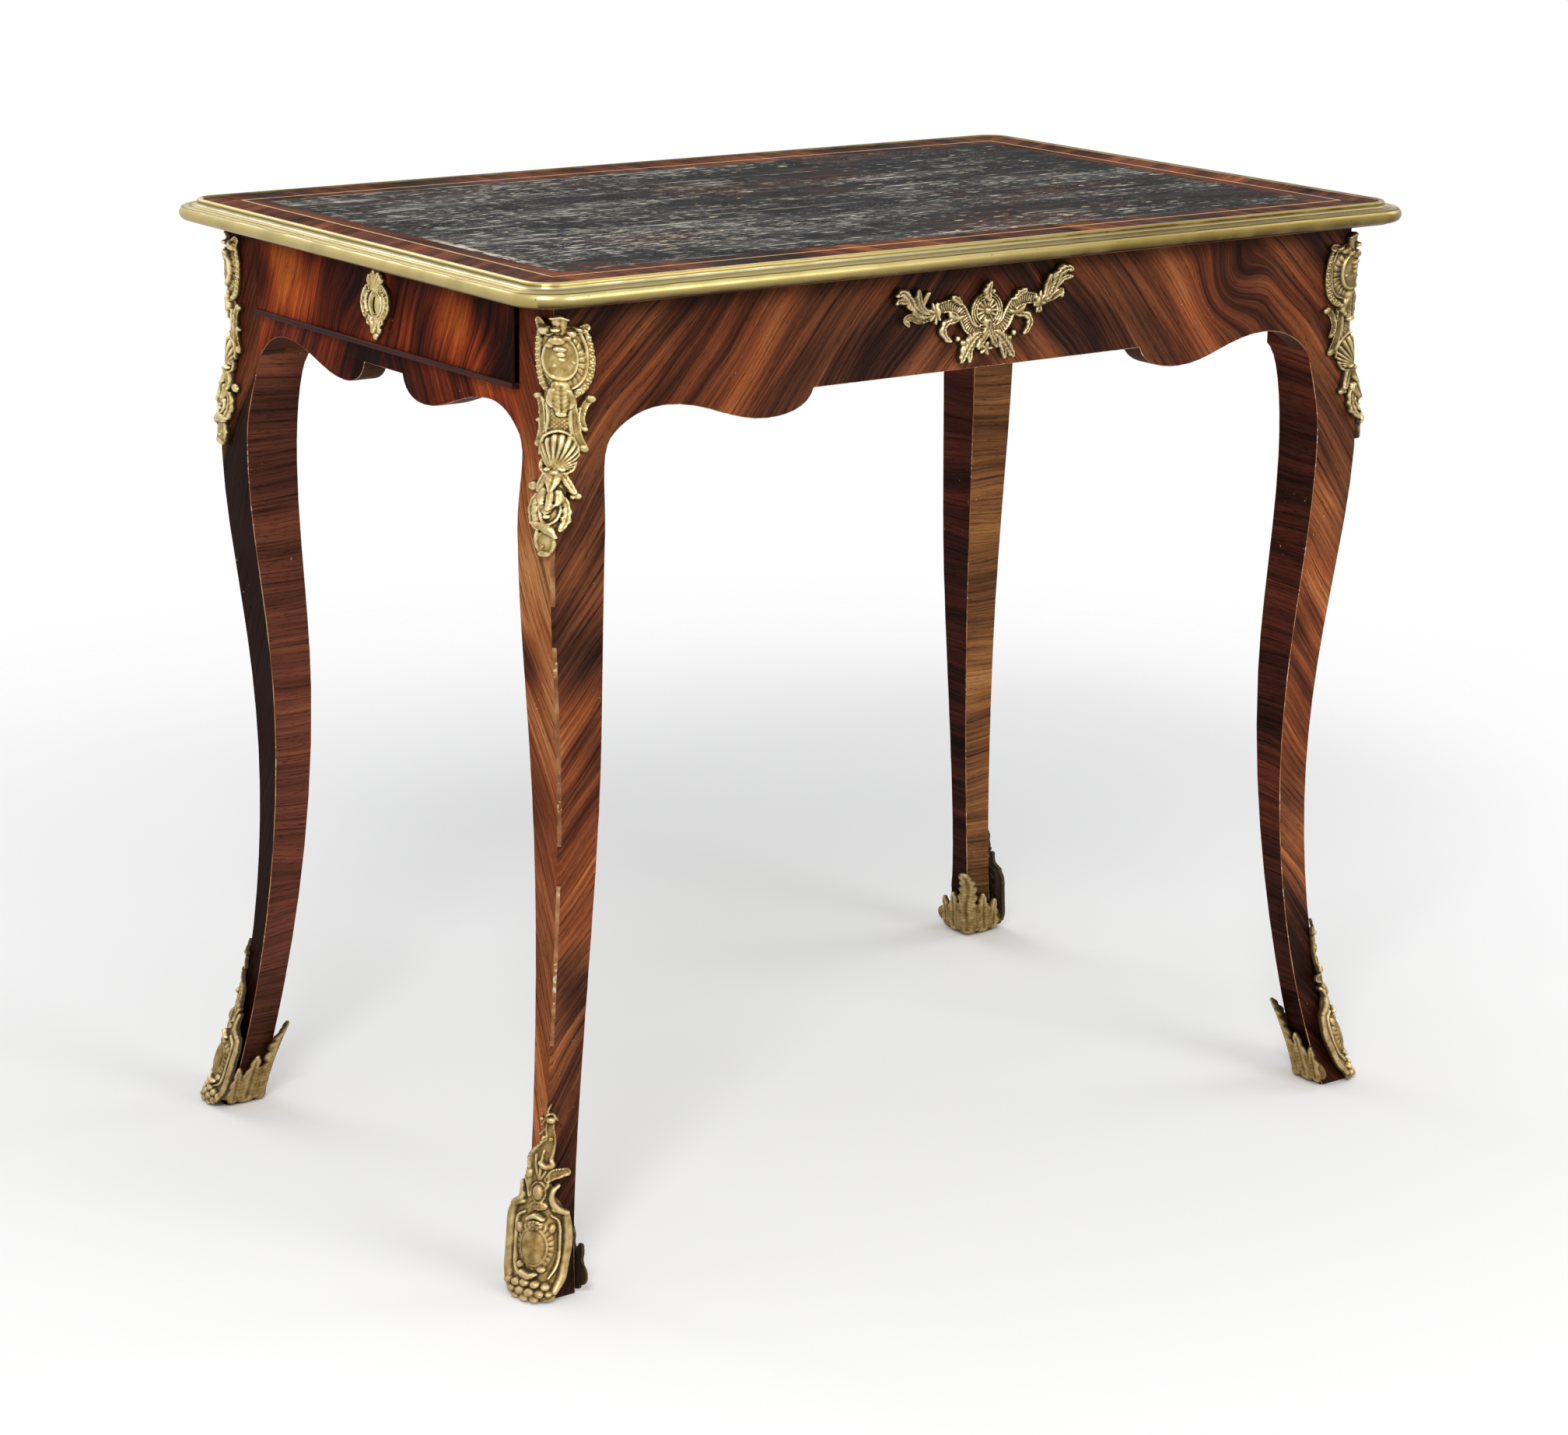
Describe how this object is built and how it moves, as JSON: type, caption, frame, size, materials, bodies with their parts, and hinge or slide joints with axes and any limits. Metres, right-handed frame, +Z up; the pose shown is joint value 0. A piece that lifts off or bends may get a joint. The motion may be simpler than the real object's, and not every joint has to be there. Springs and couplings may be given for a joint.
{
  "type": "writing table",
  "caption": "Writing table on cabriole legs with a leather-lined top, scalloped aprons, gilt mounts and an end drawer that slides out.",
  "frame": {"origin": "centre of the footprint, on the floor", "axes": "+Z up, X along the table with the drawer opening towards -X, the front with the centre mount faces -Y"},
  "size_m": [0.831, 0.526, 0.7372],
  "materials": {
    "kingwood": "worn polish over striped red-brown veneer",
    "oak": "plain, unpolished",
    "dark_wood": "polished",
    "gilt_brass": "worn gilding over cast brass",
    "lock_steel": "dull, aged",
    "black_leather": "scratched and worn brown in patches"
  },
  "bodies": {
    "table": {"top_board": "oak", "banding_front": "kingwood", "banding_back": "kingwood", "banding_left": "kingwood", "banding_right": "kingwood", "leather_fillet": "kingwood", "brass_string": "gilt_brass", "leather_panel": "black_leather", "moulding_front": "gilt_brass", "moulding_back": "gilt_brass", "moulding_left": "gilt_brass", "moulding_right": "gilt_brass", "leg_front_left": "kingwood", "leg_front_right": "kingwood", "leg_back_left": "kingwood", "leg_back_right": "kingwood", "front_apron": "kingwood", "back_apron": "kingwood", "right_apron": "kingwood", "drawer_rail": "kingwood", "runner_front": "oak", "runner_back": "oak", "guide_front": "oak", "guide_back": "oak", "drawer_stops": "oak", "glue_blocks": "oak", "tenon_pegs": "oak", "chute_front_left": "gilt_brass", "chute_front_right": "gilt_brass", "chute_back_left": "gilt_brass", "chute_back_right": "gilt_brass", "sabot_front_left": "gilt_brass", "sabot_front_right": "gilt_brass", "sabot_back_left": "gilt_brass", "sabot_back_right": "gilt_brass", "centre_mount_front": "gilt_brass", "centre_mount_back": "gilt_brass", "mount_pins": "gilt_brass"},
    "drawer": {"drawer_front": "kingwood", "drawer_bead": "dark_wood", "drawer_side_front": "oak", "drawer_side_back": "oak", "drawer_back": "oak", "drawer_bottom": "oak", "escutcheon": "gilt_brass", "escutcheon_pins": "gilt_brass", "lock_case": "lock_steel", "lock_screws": "lock_steel"},
    "lock_bolt": {"lock_bolt": "lock_steel"}
  },
  "joints": [
    {"name": "drawer_slide", "type": "slide", "parent": "table", "child": "drawer", "axis": [-1, 0, 0], "range_m": [0, 0.3]},
    {"name": "lock_bolt_lift", "type": "slide", "parent": "drawer", "child": "lock_bolt", "axis": [0, 0, 1], "range_m": [0, 0.006]}
  ]
}
